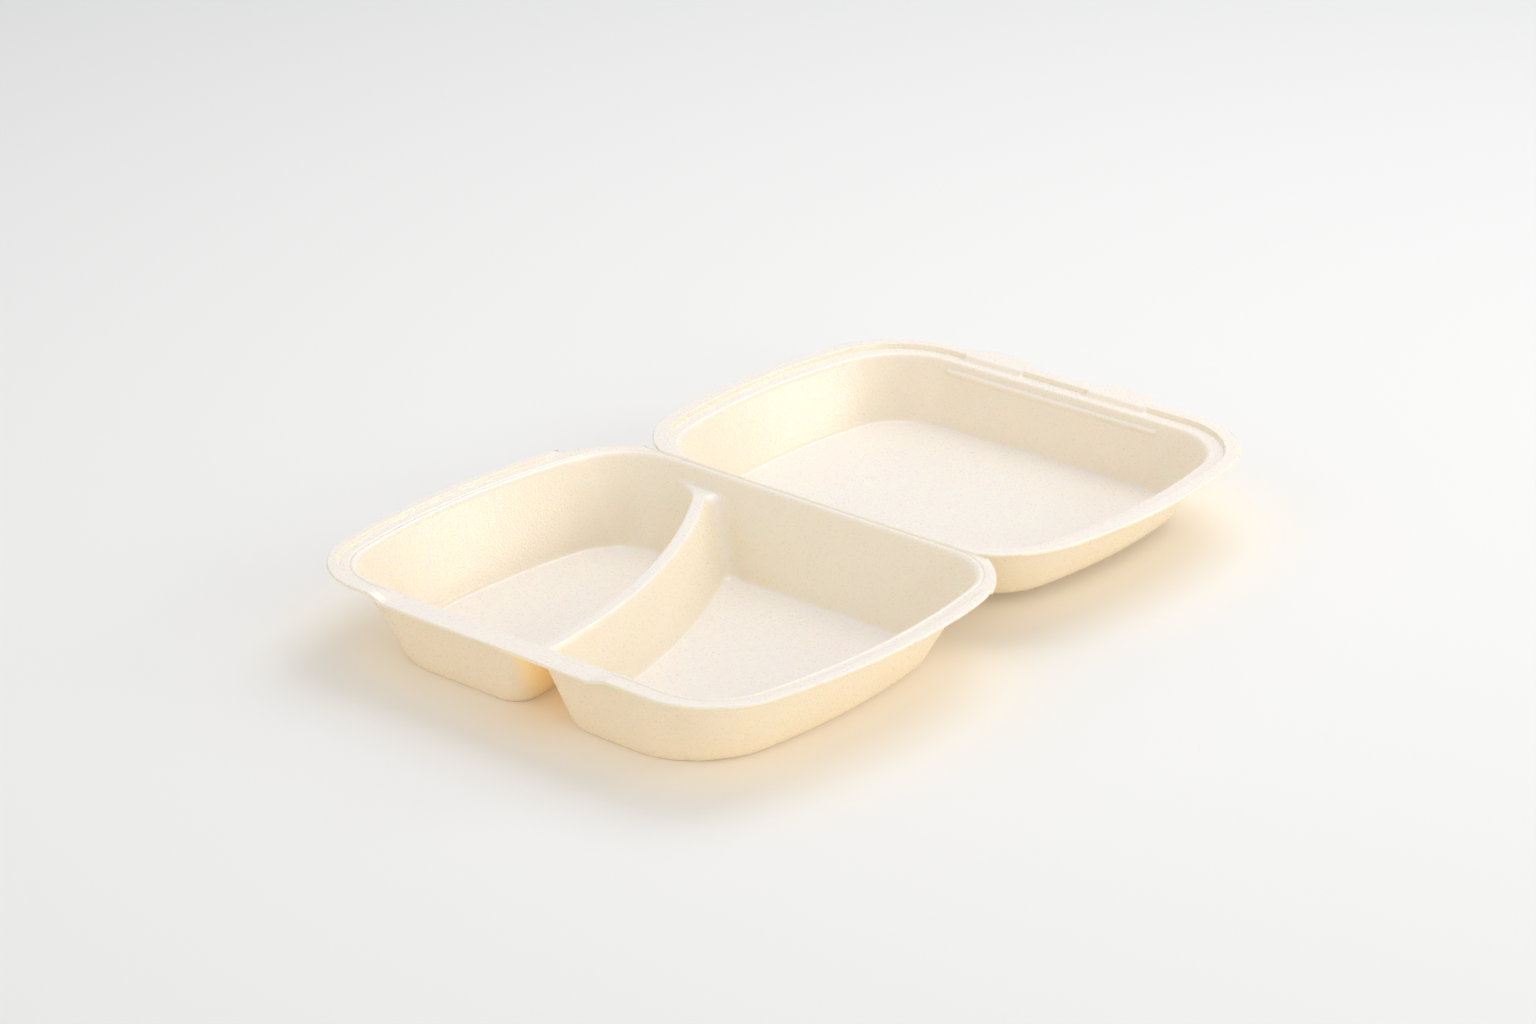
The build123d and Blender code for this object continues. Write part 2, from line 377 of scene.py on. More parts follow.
class FoamSheet:
    """A pressed foam sheet with an inner and an outer face, built as one closed mesh."""

    step = 0.12

    def __init__(
        self, name: str, side: Side, plan: SheetMesh, heights: Callable[[Array, Face], Array],
        painted_glow: Optional[Array] = None,
    ) -> None:
        """Keeps what the mesh is made from.

        Args:
            name: Name of the piece.
            side: Which way it reaches from the hinge.
            plan: Its points and triangles in plan.
            heights: Gives the height of either face at plan positions.
            painted_glow: How strongly the outer face has a painted glow at each plan point, or None.
        """
        self.name = name
        self.side = side
        self.plan = plan
        self.heights = heights
        self.painted_glow = np.zeros(len(plan.places)) if painted_glow is None else painted_glow

    def face(self, which: Face, relief: Optional[Callable[[Array, Array], Array]]) -> tuple[Array, Array]:
        """Points and normals of one face.

        Args:
            which: Inner or outer face.
            relief: Adds a height along the normal, or None.

        Returns:
            Points and unit normals, each of shape (n, 3), in the drawing's own frame.
        """
        places = self.plan.places
        z = self.heights(places, which)
        slopes = []
        for axis in (np.array([self.step, 0.0]), np.array([0.0, self.step])):
            rise = self.heights(places + axis, which) - self.heights(places - axis, which)
            slopes.append(rise / 2 / self.step)
        normal = np.stack([-slopes[0], -slopes[1], np.ones(len(z))], 1)
        normal /= np.linalg.norm(normal, axis=1)[:, None]
        points = np.concatenate([places, z[:, None]], 1)
        if relief is not None:
            points = points + normal * relief(points, normal)[:, None]
        return points, normal if which is Face.INNER else -normal

    def build(self, relief: Optional[Callable[[Array, Array], Array]] = None) -> bpy.types.Object:
        """Makes the closed mesh object in the row frame.

        Args:
            relief: Adds a height along the inner face's normal, or None.

        Returns:
            The new object.
        """
        inner, inner_normal = self.face(Face.INNER, relief)
        outer, outer_normal = self.face(Face.OUTER, None)
        count = len(inner)
        triangles = self.plan.triangles
        border = self.plan.border
        following = np.roll(border, -1)
        rim = np.concatenate([
            np.stack([border, border + count, following], 1),
            np.stack([following, border + count, following + count], 1),
        ])
        faces = np.concatenate([triangles, triangles[:, ::-1] + count, rim])
        points = np.concatenate([inner, outer])
        points[:, 1] *= self.side.value
        if self.side is Side.LID:
            faces = faces[:, ::-1]
        points += np.array([0.0, HINGE_Y, RIM_Z])
        mesh = bpy.data.meshes.new(self.name)
        mesh.from_pydata((points * MM).tolist(), [], faces.tolist())
        mesh.update()
        mesh.shade_smooth()
        materials = np.ones(len(faces), np.int32)
        materials[:len(triangles)] = 0
        mesh.polygons.foreach_set("material_index", materials)
        # Per-point painted glow, standing in for light passing through the foam.
        painted_glow = mesh.attributes.new("painted_glow", "FLOAT", "POINT")
        painted_glow.data.foreach_set("value", np.concatenate([np.zeros(count), self.painted_glow]).astype(np.float32))
        normals = np.concatenate([inner_normal, outer_normal])
        normals[:, 1] *= self.side.value
        normals[border] = 0.0
        normals[border + count] = 0.0
        if relief is not None:
            raised = np.linalg.norm(inner - self.face(Face.INNER, None)[0], axis=1) > LEAST_RELIEF
            normals[:count][raised] = 0.0
        mesh.normals_split_custom_set_from_vertices(normals.tolist())
        return linked(self.name, mesh)


def clipped_back(points: Array, cut_y: float, spacing: float) -> Array:
    """Cuts an outline off at a line along the hinge.

    Args:
        points: The outline's points, clockwise seen from above.
        cut_y: Where it is cut.
        spacing: Distance between the new points on the cut.

    Returns:
        The part in front of the cut, closed along it.
    """
    kept = points[:, 1] < cut_y
    start = next(i for i in range(len(points)) if kept[i] and not kept[i - 1])
    order = [(start + k) % len(points) for k in range(int(kept.sum()))]
    inside = points[order]

    def crossing(near: Array, far: Array) -> Array:
        """Point of the cut between two points."""
        return near + (far - near) * (cut_y - near[1]) / (far[1] - near[1])

    first = crossing(inside[0], points[order[0] - 1])
    last = crossing(inside[-1], points[(order[-1] + 1) % len(points)])
    steps = int((first[0] - last[0]) / spacing)
    line = last + (first - last) * (np.arange(steps) / steps)[:, None]
    return np.concatenate([inside, line, first[None]])


def edge_drop(inset: Array, radius: float) -> Array:
    """How far an edge of a radius falls below the flat beside it, at a distance inside the edge."""
    out = radius - np.clip(inset, 0.0, radius)
    return radius - np.sqrt(np.maximum(radius * radius - out * out, 0.0))


@dataclass
class PressedHalf(ABC):
    """Hollow, rim and rounded edge, as both halves of the box have them. In mm, from the rim's top."""

    half_width: float
    length: float
    depth: float
    bow_radius: float
    hinge_radius: float
    far_radius: float
    far_widening: float
    side_draft: float
    hinge_draft: float
    far_draft: float
    cut_y: float
    rings: tuple[float, ...]
    wall_spans: tuple[Span, ...]
    past_foot: tuple[float, ...]
    hinge_gap: float = 3.6
    wall: float = 2.0
    sheet: float = 1.5
    narrowing: float = 4.0
    inner_floor_round: float = 2.4
    outer_floor_round: float = 6.5
    inner_mouth_round: float = 2.6
    outer_mouth_round: float = 2.0
    edge_radius: float = 0.55
    edge_insets: tuple[float, ...] = (0.05, 0.15, 0.3, 0.55, 0.9)
    edge_clear: float = 0.04
    edge_spacing: float = 1.6

    @property
    def slant(self) -> float:
        """Thickness of the leaning side walls, measured level."""
        return self.wall / math.cos(math.radians(self.side_draft))

    @property
    def far_y(self) -> float:
        """Where the mouth ends, away from the hinge."""
        return -self.hinge_gap - self.length

    @abstractmethod
    def rim_level(self, places: Array, distance: Array) -> Array:
        """Height of the rim's top face at places that lie at a distance from the mouth."""

    @abstractmethod
    def features(self) -> list[Array]:
        """Plan points that follow what only this half has, and its floor."""

    def outline(self, depth: float) -> Outline:
        """Inside of the walls.

        Args:
            depth: Depth below the mouth in mm.

        Returns:
            The outline at that depth.
        """
        side = depth * math.tan(math.radians(self.side_draft))
        return Outline(
            self.half_width - side,
            -self.hinge_gap - depth * math.tan(math.radians(self.hinge_draft)),
            self.far_y + depth * math.tan(math.radians(self.far_draft)),
            self.bow_radius - side,
            self.hinge_radius - self.narrowing * depth / self.depth,
            self.far_radius + self.far_widening * depth / self.depth,
        )

    def prepare(
        self, mouth_z: float, border: Array,
        divider: Optional[Divider] = None, channel: Optional[Divider] = None,
    ) -> None:
        """Prepares the fields of the mouth and the edge, and both faces of the hollow.

        Args:
            mouth_z: Height of the mouth.
            border: Outer edge of the rim.
            divider: Divider on the inner face, or None.
            channel: The divider's outer face, or None.
        """
        inner_depth = self.depth - self.wall + mouth_z
        self.mouth_field, self.foot = walled_field(self.outline(0.0), self.outline(inner_depth), inner_depth)
        self.border = border
        self.border_field = OutlineField(border)
        inner_z, outer_z = self.wall - self.depth, -self.depth
        inner_rounds = (self.inner_floor_round, self.inner_mouth_round)
        outer_rounds = (self.outer_floor_round, self.outer_mouth_round)
        self.pressings = {
            Face.INNER: Pressing(mouth_z, inner_z, 0.0, *inner_rounds, divider),
            Face.OUTER: Pressing(mouth_z, outer_z, self.slant, *outer_rounds, channel),
        }

    def heights(self, places: Array, which: Face) -> Array:
        """Height of one face of the sheet at plan positions.

        Args:
            places: Plan positions.
            which: Inner or outer face.

        Returns:
            Heights in mm from the rim's top.
        """
        distance, lean = self.mouth_field.read(places)
        pressing = self.pressings[which]
        hollow = pressing.height(places, distance, lean)
        level = self.rim_level(places, distance)
        drop = edge_drop(-self.border_field.read(places)[0], self.edge_radius)
        if which is Face.OUTER:
            return smooth_min(hollow, level - self.sheet, pressing.mouth_round) + drop
        return smooth_min(hollow, level, pressing.mouth_round) - drop

    def plan(self) -> SheetMesh:
        """Plan mesh that follows the walls, the rim, the edge and the half's own features.

        Returns:
            The mesh in plan.
        """
        line, normal = self.mouth_field.points, self.mouth_field.normal
        places = [line + (self.foot - line) * share for share in stepped(self.wall_spans, self.past_foot)]
        places += [line + normal * offset for offset in self.rings]
        places += [self.border - self.border_field.normal * inset for inset in self.edge_insets]
        found = np.concatenate(places + self.features())
        found = found[self.border_field.read(found)[0] < -self.edge_clear]
        return SheetMesh.from_points(self.border, found)


@dataclass
class TrayHalf(PressedHalf):
    """Tray with two compartments and a stepped rim. In mm, from the hinge line and the rim's top."""

    width: float = 245.0
    rim_width: float = 11.8
    length: float = 173.0
    half_width: float = field(init=False)
    bow_radius: float = 313.0
    far_radius: float = 27.0
    hinge_radius: float = 29.5
    depth: float = 35.7
    side_draft: float = 26.5
    hinge_draft: float = 31.0
    far_draft: float = 14.0
    far_widening: float = 9.0
    divider_radius: float = 300.0
    divider_front_x: float = 6.7
    divider_front_angle: float = 2.5
    divider_drop: float = 6.7
    divider_half: float = 3.0
    divider_draft: float = 20.0
    divider_end_radius: float = 9.0
    divider_round: float = 2.2
    channel_round: float = 2.0
    recess: float = 7.0
    strip_height: float = 1.5
    strip_back_y: float = -25.0
    strip_ramp: float = 1.5
    strip_riser: float = 0.7
    strip_closing: float = 5.0
    left_point: float = 14.0
    rim_hinge_radius: float = 60.0
    rim_back_reach: float = 10.0
    groove_offset: float = 2.5
    groove_width: float = 0.42
    groove_depth: float = 0.45
    ledge_left: float = -61.0
    ledge_right: float = 47.0
    ledge_ramp: float = 10.0
    ledge_drop: float = 1.0
    ledge_reach: float = 25.0
    painted_glow_zone: tuple[float, float] = (6.0, 13.0)
    cut_y: float = -1.0
    rings: tuple[float, ...] = (
        0.3, 0.6, 0.9, 1.2, 1.5, 1.8, 2.05, 2.3, 2.5, 2.7, 2.95, 3.2, 3.6, 4.2, 5.0, 5.8, 6.4, 6.8, 7.0, 7.2,
        7.4, 7.6, 7.9, 8.3, 8.9, 9.6, 10.4, 11.1,
    )
    wall_spans: tuple[Span, ...] = ((0.0, 0.7, 0.05), (0.7, 1.1, 0.025))
    past_foot: tuple[float, ...] = (1.15, 1.21, 1.3)
    divider_spans: tuple[Span, ...] = ((0.0, 5.0, 0.5), (5.0, 11.5, 1.0), (11.5, 15.5, 0.5))
    past_divider: tuple[float, ...] = (16.2, 17.2, 18.5)
    divider_angles: Span = (-0.06, 0.8, 0.0075)
    floor_across: Span = (-92.0, 93.0, 4.0)
    floor_along: Span = (-170.0, -20.0, 4.0)
    divider_clear: float = 20.0
    wall_clear: float = 19.0

    def __post_init__(self) -> None:
        """Draws the outlines and the divider and prepares the fields."""
        self.half_width = self.width / 2 - self.rim_width
        rim = Outline(
            self.width / 2, self.rim_back_reach, self.far_y - self.rim_width,
            self.bow_radius + self.rim_width, self.rim_hinge_radius, self.far_radius + self.rim_width,
        )
        slope = math.tan(math.radians(self.divider_draft))
        lead = math.radians(self.divider_front_angle)
        centre = (
            self.divider_front_x - self.divider_radius * math.cos(lead),
            self.far_y - self.divider_radius * math.sin(lead),
        )
        self.divider = Divider(
            centre, self.divider_radius, -self.divider_drop, self.divider_half, slope,
            self.divider_end_radius, self.divider_round,
        )
        channel = Divider(
            centre, self.divider_radius, -self.divider_drop - self.wall,
            self.divider_half + slope * self.wall - self.slant, slope,
            self.divider_end_radius + self.wall, self.channel_round,
        )
        border = clipped_back(rim.points(), self.cut_y, self.edge_spacing)
        self.prepare(0.0, border, self.divider, channel)

    def rim_level(self, places: Array, distance: Array) -> Array:
        """Height of the rim's top face: groove, raised strip with its pointed ends, and sunk ledge.

        Args:
            places: Plan positions.
            distance: Outward distance from the mouth.

        Returns:
            Heights in mm.
        """
        x, y = places[:, 0], places[:, 1]
        left_end = self.strip_back_y - self.left_point * smooth_step(-x, 0.0, 1.0)
        fade = smooth_step(-y, -self.strip_back_y - self.strip_ramp, -left_end + self.strip_ramp)
        closing = self.strip_closing * (1.0 - fade)
        inside = distance - closing
        strip = self.strip_height * smooth_step(inside, self.recess, self.recess + self.strip_riser)
        strip *= smooth_step(-y, -self.strip_back_y - self.strip_ramp, -self.strip_back_y + self.strip_ramp)
        groove = np.exp(-(((distance - self.groove_offset) / self.groove_width) ** 2))
        level = strip - self.groove_depth * groove
        ledge = smooth_step(x, self.ledge_left - self.ledge_ramp, self.ledge_left)
        ledge *= 1.0 - smooth_step(x, self.ledge_right, self.ledge_right + self.ledge_ramp)
        ledge *= y < self.far_y + self.ledge_reach
        return level * (1.0 - ledge) - self.ledge_drop * ledge

    def features(self) -> list[Array]:
        """Plan points along the divider and on the floors.

        Returns:
            Groups of plan positions.
        """
        centre = np.array(self.divider.centre)
        angles = np.arange(*self.divider_angles)
        offsets = stepped(self.divider_spans, self.past_divider)
        places = []
        for offset in np.concatenate([-offsets[1:], offsets]):
            arc = np.stack([np.cos(angles), np.sin(angles)], 1) * (self.divider.radius + offset)
            places.append(centre + arc)
        grid = plan_grid(self.floor_across, self.floor_along)
        grid = grid[self.divider.gap(grid) > self.divider_clear]
        places.append(grid[self.mouth_field.read(grid)[0] < -self.wall_clear])
        return places

    def build(self) -> bpy.types.Object:
        """Builds the tray's sheet, with a painted glow in the channel under the divider.

        Returns:
            The new object.
        """
        plan = self.plan()
        # Painted glow: strongest near the divider, standing in for light passing through it into the
        # channel.
        painted_glow = 1.0 - smooth_step(self.divider.gap(plan.places), *self.painted_glow_zone)
        return FoamSheet("tray_sheet", Side.TRAY, plan, self.heights, painted_glow).build()


@dataclass
class LidHalf(PressedHalf):
    """Shallow lid with a stepped rim, closing tabs and a snap rib. In mm, from the hinge line."""

    half_width: float = 101.2
    length: float = 165.4
    bow_radius: float = 290.0
    far_radius: float = 33.0
    hinge_radius: float = 36.0
    depth: float = 31.0
    far_widening: float = -4.0
    side_draft: float = 27.5
    far_draft: float = 23.0
    hinge_draft: float = 30.0
    band_drop: float = 2.2
    band_width: float = 6.6
    band_riser: float = 0.9
    hinge_band: float = 2.2
    strip_width: float = 7.4
    tab_centres: tuple[float, float] = (27.0, -41.0)
    tab_root_half: float = 14.7
    tab_root_ease: tuple[tuple[float, float], ...] = ((0.8, 0.0), (0.1, -0.25))
    tab_root_reach: float = 1.4
    tab_flank_shares: tuple[float, float] = (0.35, 0.7)
    tab_tip_half: float = 11.0
    tab_tip_points: int = 10
    tab_reach: float = 5.8
    tab_corner: float = 3.0
    tab_corner_steps: int = 6
    tab_ramp: tuple[float, float] = (-3.0, 0.6)
    tab_fade: tuple[float, float] = (1.0, 2.4)
    rib_height: float = 1.4
    rib_half_width: float = 1.9
    rib_drop: float = 4.5
    rib_x: float = -3.0
    rib_half_length: float = 58.0
    rib_fade: tuple[float, float] = (-1.0, 0.8)
    rib_reach: float = 10.0
    least_steepness: float = 0.2
    cut_y: float = -0.3
    rings: tuple[float, ...] = (
        0.3, 0.6, 0.9, 1.2, 1.6, 2.2, 3.0, 3.8, 4.6, 5.3, 5.8, 6.2, 6.45, 6.7, 6.95, 7.2, 7.5, 7.9, 8.5, 9.5,
        10.6, 11.7, 12.6, 13.2,
    )
    wall_spans: tuple[Span, ...] = (
        (0.0, 0.1, 0.03), (0.1, 0.26, 0.015), (0.26, 0.7, 0.055), (0.7, 1.12, 0.03),
    )
    past_foot: tuple[float, ...] = (1.16, 1.22, 1.3)
    band_rings: tuple[float, ...] = (-0.2, 0.1, 0.3, 0.5, 0.7, 0.95, 1.3)
    floor_across: Span = (-90.0, 91.0, 4.0)
    floor_along: Span = (-164.0, -20.0, 4.0)
    wall_clear: float = 18.5
    tab_across: Span = (-14.0, 14.1, 1.4)
    tab_along: Span = (-189.0, -172.0, 0.9)

    def __post_init__(self) -> None:
        """Draws the outlines and prepares the fields."""
        self.band_field = OutlineField(self.ringed(self.band_width).points())
        edge = self.ringed(self.band_width + self.strip_width).points()
        border = self.with_tabs(clipped_back(edge, self.cut_y, self.edge_spacing))
        self.prepare(-self.band_drop, border)

    def ringed(self, out: float) -> Outline:
        """Line on the rim at a distance outside the mouth, closer to it along the hinge."""
        return Outline(
            self.half_width + out, -self.hinge_gap + self.hinge_band + out - self.band_width,
            self.far_y - out, self.bow_radius + out, self.hinge_radius + out, self.far_radius + out,
        )

    def with_tabs(self, border: Array) -> Array:
        """Adds the closing tabs to the rim's edge.

        Args:
            border: The rim's edge without tabs, clockwise seen from above.

        Returns:
            The edge with both tabs.
        """
        edge_y = border[:, 1].min()
        tip_y = edge_y - self.tab_reach
        lean = (self.tab_root_half - self.tab_tip_half) / self.tab_reach
        turn = math.pi / 2 - math.atan(lean)
        cut = self.tab_corner * math.tan(turn / 2)
        angles = turn * np.arange(self.tab_corner_steps + 1) / self.tab_corner_steps
        corner_x = self.tab_tip_half - cut + self.tab_corner * np.sin(turn - angles)
        corner_y = tip_y + self.tab_corner * (1 - np.cos(turn - angles))
        root = np.array([self.tab_root_half, edge_y]) + np.array(self.tab_root_ease)
        flank = np.stack([corner_x, corner_y], 1)
        middle = root[-1] + (flank[0] - root[-1]) * np.array(self.tab_flank_shares)[:, None]
        right = np.concatenate([root, middle, flank])
        tip_x = np.linspace(flank[-1, 0], -flank[-1, 0], self.tab_tip_points + 2)[1:-1]
        tip = np.stack([tip_x, np.full(self.tab_tip_points, tip_y)], 1)
        tab = np.concatenate([right, tip, right[::-1] * np.array([-1.0, 1.0])])
        for centre in self.tab_centres:
            placed = tab + np.array([centre, 0.0])
            on_edge = np.abs(border[:, 1] - edge_y) < TINY
            beside = np.abs(border[:, 0] - centre) < self.tab_root_half + self.tab_root_reach
            drop = np.flatnonzero(on_edge & beside)
            border = np.concatenate([border[:drop[0]], placed, border[drop[-1] + 1:]])
        return border

    def rim_level(self, places: Array, distance: Array) -> Array:
        """Height of the rim's top face: inner band, raised strip, and the ramps behind the tabs.

        Args:
            places: Plan positions.
            distance: Outward distance from the mouth, which the lid's band doesn't follow.

        Returns:
            Heights in mm.
        """
        out = self.band_field.read(places)[0]
        riser = smooth_step(out, 0.0, self.band_riser)
        at_tab = np.zeros(len(out))
        start, end = (self.tab_root_half + reach for reach in self.tab_fade)
        for centre in self.tab_centres:
            at_tab += 1.0 - smooth_step(np.abs(places[:, 0] - centre), start, end)
        at_tab *= places[:, 1] < self.far_y
        ramp = smooth_step(out, *self.tab_ramp)
        riser = riser * (1.0 - at_tab) + ramp * at_tab
        return self.band_drop * (riser - 1.0)

    def relief(self, points: Array, normal: Array) -> Array:
        """Height of the snap rib over the far wall.

        Args:
            points: Points of the inner face.
            normal: Their unit normals.

        Returns:
            Heights along the normals in mm.
        """
        rib_z = -self.band_drop - self.rib_drop
        steep = np.maximum(np.hypot(normal[:, 0], normal[:, 1]), self.least_steepness)
        along_wall = (points[:, 2] - rib_z) / steep
        profile = np.cos(np.clip(along_wall / self.rib_half_width, -1.0, 1.0) * math.pi / 2) ** 2
        start, end = (self.rib_half_length + reach for reach in self.rib_fade)
        ends = 1.0 - smooth_step(np.abs(points[:, 0] - self.rib_x), start, end)
        on_far_wall = points[:, 1] < self.far_y + self.rib_reach
        return self.rib_height * profile * ends * on_far_wall

    def features(self) -> list[Array]:
        """Plan points along the band's riser, on the floor and on the tabs.

        Returns:
            Groups of plan positions.
        """
        band, band_normal = self.band_field.points, self.band_field.normal
        places = [band + band_normal * offset for offset in self.band_rings]
        grid = plan_grid(self.floor_across, self.floor_along)
        places.append(grid[self.mouth_field.read(grid)[0] < -self.wall_clear])
        tab = plan_grid(self.tab_across, self.tab_along)
        return places + [tab + np.array([centre, 0.0]) for centre in self.tab_centres]

    def build(self) -> bpy.types.Object:
        """Builds the lid's sheet with its snap rib."""
        return FoamSheet("lid_sheet", Side.LID, self.plan(), self.heights).build(self.relief)


@dataclass
class HingeWeb:
    """Narrow strip of the same sheet between the two creases of the hinge. In mm."""

    half_length: float = 93.0
    tray_y: float = -1.15
    lid_y: float = 0.45
    crown: float = 0.05
    crease_drop: float = 1.0
    thickness: float = 1.4
    ridge_power: int = 3
    steps_across: int = 12
    steps_along: int = 120

    def build(self) -> bpy.types.Object:
        """Makes the strip as one closed mesh between the two halves.

        Returns:
            The new object.
        """
        turn = np.linspace(0.0, 2.0 * math.pi, 2 * self.steps_across, endpoint=False)
        half = (self.lid_y - self.tray_y) / 2
        middle = (self.lid_y + self.tray_y) / 2
        y = middle + half * np.cos(turn)
        bulge = np.sin(turn)
        crease = self.crown - self.crease_drop
        ridge = self.crown - self.crease_drop * (1 - bulge ** self.ridge_power)
        z = np.where(bulge > 0, ridge, crease + np.minimum(bulge, 0.0) * (self.thickness - self.crease_drop))
        ring = len(turn)
        xs = np.linspace(-self.half_length, self.half_length, self.steps_along + 1)
        points = [(x, a + HINGE_Y, b + RIM_Z) for x in xs for a, b in zip(y, z)]
        faces = []
        for i in range(self.steps_along):
            for j in range(ring):
                k = (j + 1) % ring
                faces.append((i * ring + j, (i + 1) * ring + j, (i + 1) * ring + k, i * ring + k))
        last = self.steps_along * ring
        faces.append(tuple(range(ring)))
        faces.append(tuple(last + j for j in reversed(range(ring))))
        mesh = bpy.data.meshes.new("hinge_web")
        mesh.from_pydata([tuple(c * MM for c in p) for p in points], [], faces)
        mesh.update()
        mesh.shade_smooth()
        return linked("hinge_web", mesh)


@dataclass(frozen=True)
class Shading:
    """Adds nodes to a shader tree and joins them."""

    tree: bpy.types.NodeTree

    def feed(self, node: bpy.types.Node, inputs: Inputs) -> bpy.types.Node:
        """Sets or links a node's inputs.

        Args:
            node: The node.
            inputs: For each input, a number, a colour or the socket that it reads.

        Returns:
            The same node.
        """
        for name, value in inputs.items():
            socket = node.inputs[name]
            if isinstance(value, bpy.types.NodeSocket):
                self.tree.links.new(value, socket)
            elif socket.type == "RGBA":
                socket.default_value = (*value, 1.0)
            else:
                socket.default_value = value
        return node

    def add(self, kind: str, inputs: Optional[Inputs] = None) -> bpy.types.Node:
        """Adds a node of a kind, named without the ShaderNode before it, and feeds its inputs."""
        return self.feed(self.tree.nodes.new(f"ShaderNode{kind}"), inputs or {})

    def maths(self, kind: str, first: object, second: object) -> bpy.types.NodeSocket:
        """Adds a Math node.

        Args:
            kind: Its operation.
            first: First number or socket.
            second: Second number or socket.

        Returns:
            Its result.
        """
        node = self.add("Math", {0: first, 1: second})
        node.operation = kind
        return node.outputs["Value"]

    def mixed(self, share: bpy.types.NodeSocket, first: object, second: object) -> bpy.types.NodeSocket:
        """Adds a colour Mix node.

        Args:
            share: Socket that gives the second colour's share.
            first: Colour or socket at 0.
            second: Colour or socket at 1.

        Returns:
            The mixed colour.
        """
        node = self.add("Mix")
        node.data_type = "RGBA"
        self.feed(node, {"Factor": share, "A": first, "B": second})
        return node.outputs["Result"]


def cell_group() -> bpy.types.NodeTree:
    """Shader group for the fine closed cells of foamed sheet, with painted shade: steep walls get a darker,
    warmer colour than flats.

    Returns:
        Group with a colour, a roughness and a height that change over the surface.
    """
    group = bpy.data.node_groups.new("foam_cells", "ShaderNodeTree")
    socket = group.interface.new_socket
    for name in ("Flat Lit Colour", "Wall Shade Colour"):
        socket(name, in_out="INPUT", socket_type="NodeSocketColor")
    for name in ("Cell Scale", "Cloud Scale", "Cloud Share", "Base Roughness", "Sheen Spread"):
        socket(name, in_out="INPUT", socket_type="NodeSocketFloat")
    socket("Colour", in_out="OUTPUT", socket_type="NodeSocketColor")
    socket("Roughness", in_out="OUTPUT", socket_type="NodeSocketFloat")
    socket("Height", in_out="OUTPUT", socket_type="NodeSocketFloat")
    shading = Shading(group)
    maths = shading.maths
    given = group.nodes.new("NodeGroupInput").outputs
    place = shading.add("TexCoord").outputs
    cells = shading.add("TexVoronoi", {"Vector": place["Object"], "Scale": given["Cell Scale"]})
    cells.feature = "SMOOTH_F1"
    fine = shading.add("TexNoise", {
        "Vector": place["Object"], "Scale": given["Cell Scale"], "Detail": FINE_DETAIL,
    })
    cloud = shading.add("TexNoise", {
        "Vector": place["Object"], "Scale": given["Cloud Scale"], "Detail": CLOUD_DETAIL,
    })
    patch = maths("SUBTRACT", cloud.outputs["Fac"], NOISE_MIDDLE)
    patch = maths("MULTIPLY", patch, given["Cloud Share"])
    speck = maths("SUBTRACT", fine.outputs["Fac"], NOISE_MIDDLE)
    speck = maths("MULTIPLY", speck, FINE_SHARE)
    # Painted shade: steep faces take the darker, warmer wall colour and flat faces the lit one, standing in
    # for warm bounce light on walls.
    apart = shading.add("SeparateXYZ", {"Vector": place["Normal"]})
    level = maths("ABSOLUTE", apart.outputs["Z"], 0.0)
    flat_lit_share = shading.add("MapRange", {"Value": level, "From Min": WALL_SHADE_LEVEL, "From Max": FLAT_LIT_LEVEL})
    flat_lit_share.interpolation_type = "SMOOTHSTEP"
    share = maths("ADD", maths("ADD", patch, speck), flat_lit_share.outputs["Result"])
    gloss = maths("MULTIPLY", cells.outputs["Distance"], given["Sheen Spread"])
    height = maths("ADD", cells.outputs["Distance"], fine.outputs["Fac"])
    shading.feed(group.nodes.new("NodeGroupOutput"), {
        "Colour": shading.mixed(share, given["Wall Shade Colour"], given["Flat Lit Colour"]),
        "Roughness": maths("ADD", given["Base Roughness"], gloss),
        "Height": maths("MULTIPLY", height, 0.5),
    })
    return group


